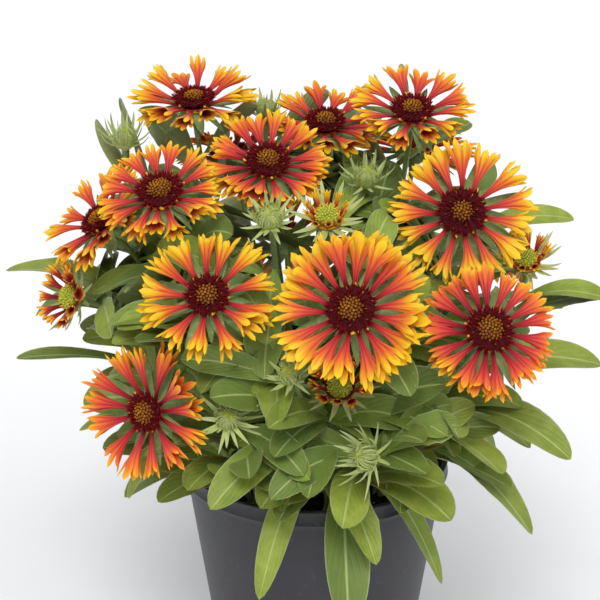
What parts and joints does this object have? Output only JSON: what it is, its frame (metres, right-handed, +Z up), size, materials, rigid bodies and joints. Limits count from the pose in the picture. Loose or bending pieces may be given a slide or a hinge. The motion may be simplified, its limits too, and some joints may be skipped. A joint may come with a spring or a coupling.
{
  "type": "potted blanket flower plant",
  "caption": "Blanket flower plant with red and yellow fluted ray florets, buds and leafy stems, standing in a dark nursery pot.",
  "frame": {"origin": "middle of the pot's flat bottom, on the surface it stands on", "axes": "+Z up; -Y is the front, where the picture looks from; +X is to the right in the picture"},
  "size_m": [0.306, 0.2749, 0.3232],
  "materials": {
    "pot_plastic": "matte, faintly scuffed",
    "potting_soil": "rough, crumbly peat and bark",
    "green": "soft, short-haired leaf",
    "ray": "soft petal, red running to yellow at the lobes",
    "young_ray": "soft young petal, dark red with golden tips",
    "maroon_floret": "velvety, dark",
    "golden_floret": "grainy, golden",
    "lime_floret": "grainy, yellow-green"
  },
  "bodies": {
    "root": {"pot": "pot_plastic", "soil": "potting_soil", "leafy_stem_front": "green", "leafy_stem_low_front": "green", "leafy_stem_inner_left": "green", "leafy_stem_low_left": "green", "leafy_stem_left": "green", "leafy_stem_top_left": "green", "leafy_stem_top": "green", "leafy_stem_top_right": "green", "leafy_stem_right": "green", "leafy_stem_back_left": "green", "leafy_stem_back_right": "green", "bloom_01_rays": "ray", "bloom_01_disc_ring": "maroon_floret", "bloom_01_disc_centre": "golden_floret", "bloom_02_rays": "ray", "bloom_02_disc_ring": "maroon_floret", "bloom_02_disc_centre": "golden_floret", "bloom_03_rays": "ray", "bloom_03_disc_ring": "maroon_floret", "bloom_03_disc_centre": "golden_floret", "bloom_04_rays": "ray", "bloom_04_disc_ring": "maroon_floret", "bloom_04_disc_centre": "golden_floret", "bloom_05_rays": "ray", "bloom_05_disc_ring": "maroon_floret", "bloom_05_disc_centre": "golden_floret", "bloom_06_rays": "ray", "bloom_06_disc_ring": "maroon_floret", "bloom_06_disc_centre": "golden_floret", "bloom_07_rays": "ray", "bloom_07_disc_ring": "maroon_floret", "bloom_07_disc_centre": "golden_floret", "bloom_08_rays": "ray", "bloom_08_disc_ring": "maroon_floret", "bloom_08_disc_centre": "golden_floret", "bloom_09_rays": "ray", "bloom_09_disc_ring": "maroon_floret", "bloom_09_disc_centre": "golden_floret", "bloom_10_rays": "ray", "bloom_10_disc": "maroon_floret", "bloom_11_rays": "ray", "bloom_11_disc": "maroon_floret", "bloom_12_rays": "ray", "bloom_12_disc": "maroon_floret", "bloom_13_rays": "ray", "bloom_13_disc": "maroon_floret", "bloom_14_rays": "ray", "bloom_14_disc": "maroon_floret", "bloom_15_rays": "ray", "bloom_15_disc": "maroon_floret", "young_bloom_1_rays": "young_ray", "young_bloom_1_disc": "lime_floret", "young_bloom_2_rays": "young_ray", "young_bloom_2_disc": "lime_floret", "young_bloom_3_rays": "young_ray", "young_bloom_3_disc": "lime_floret", "young_bloom_4_rays": "young_ray", "young_bloom_4_disc": "lime_floret"}
  },
  "joints": []
}
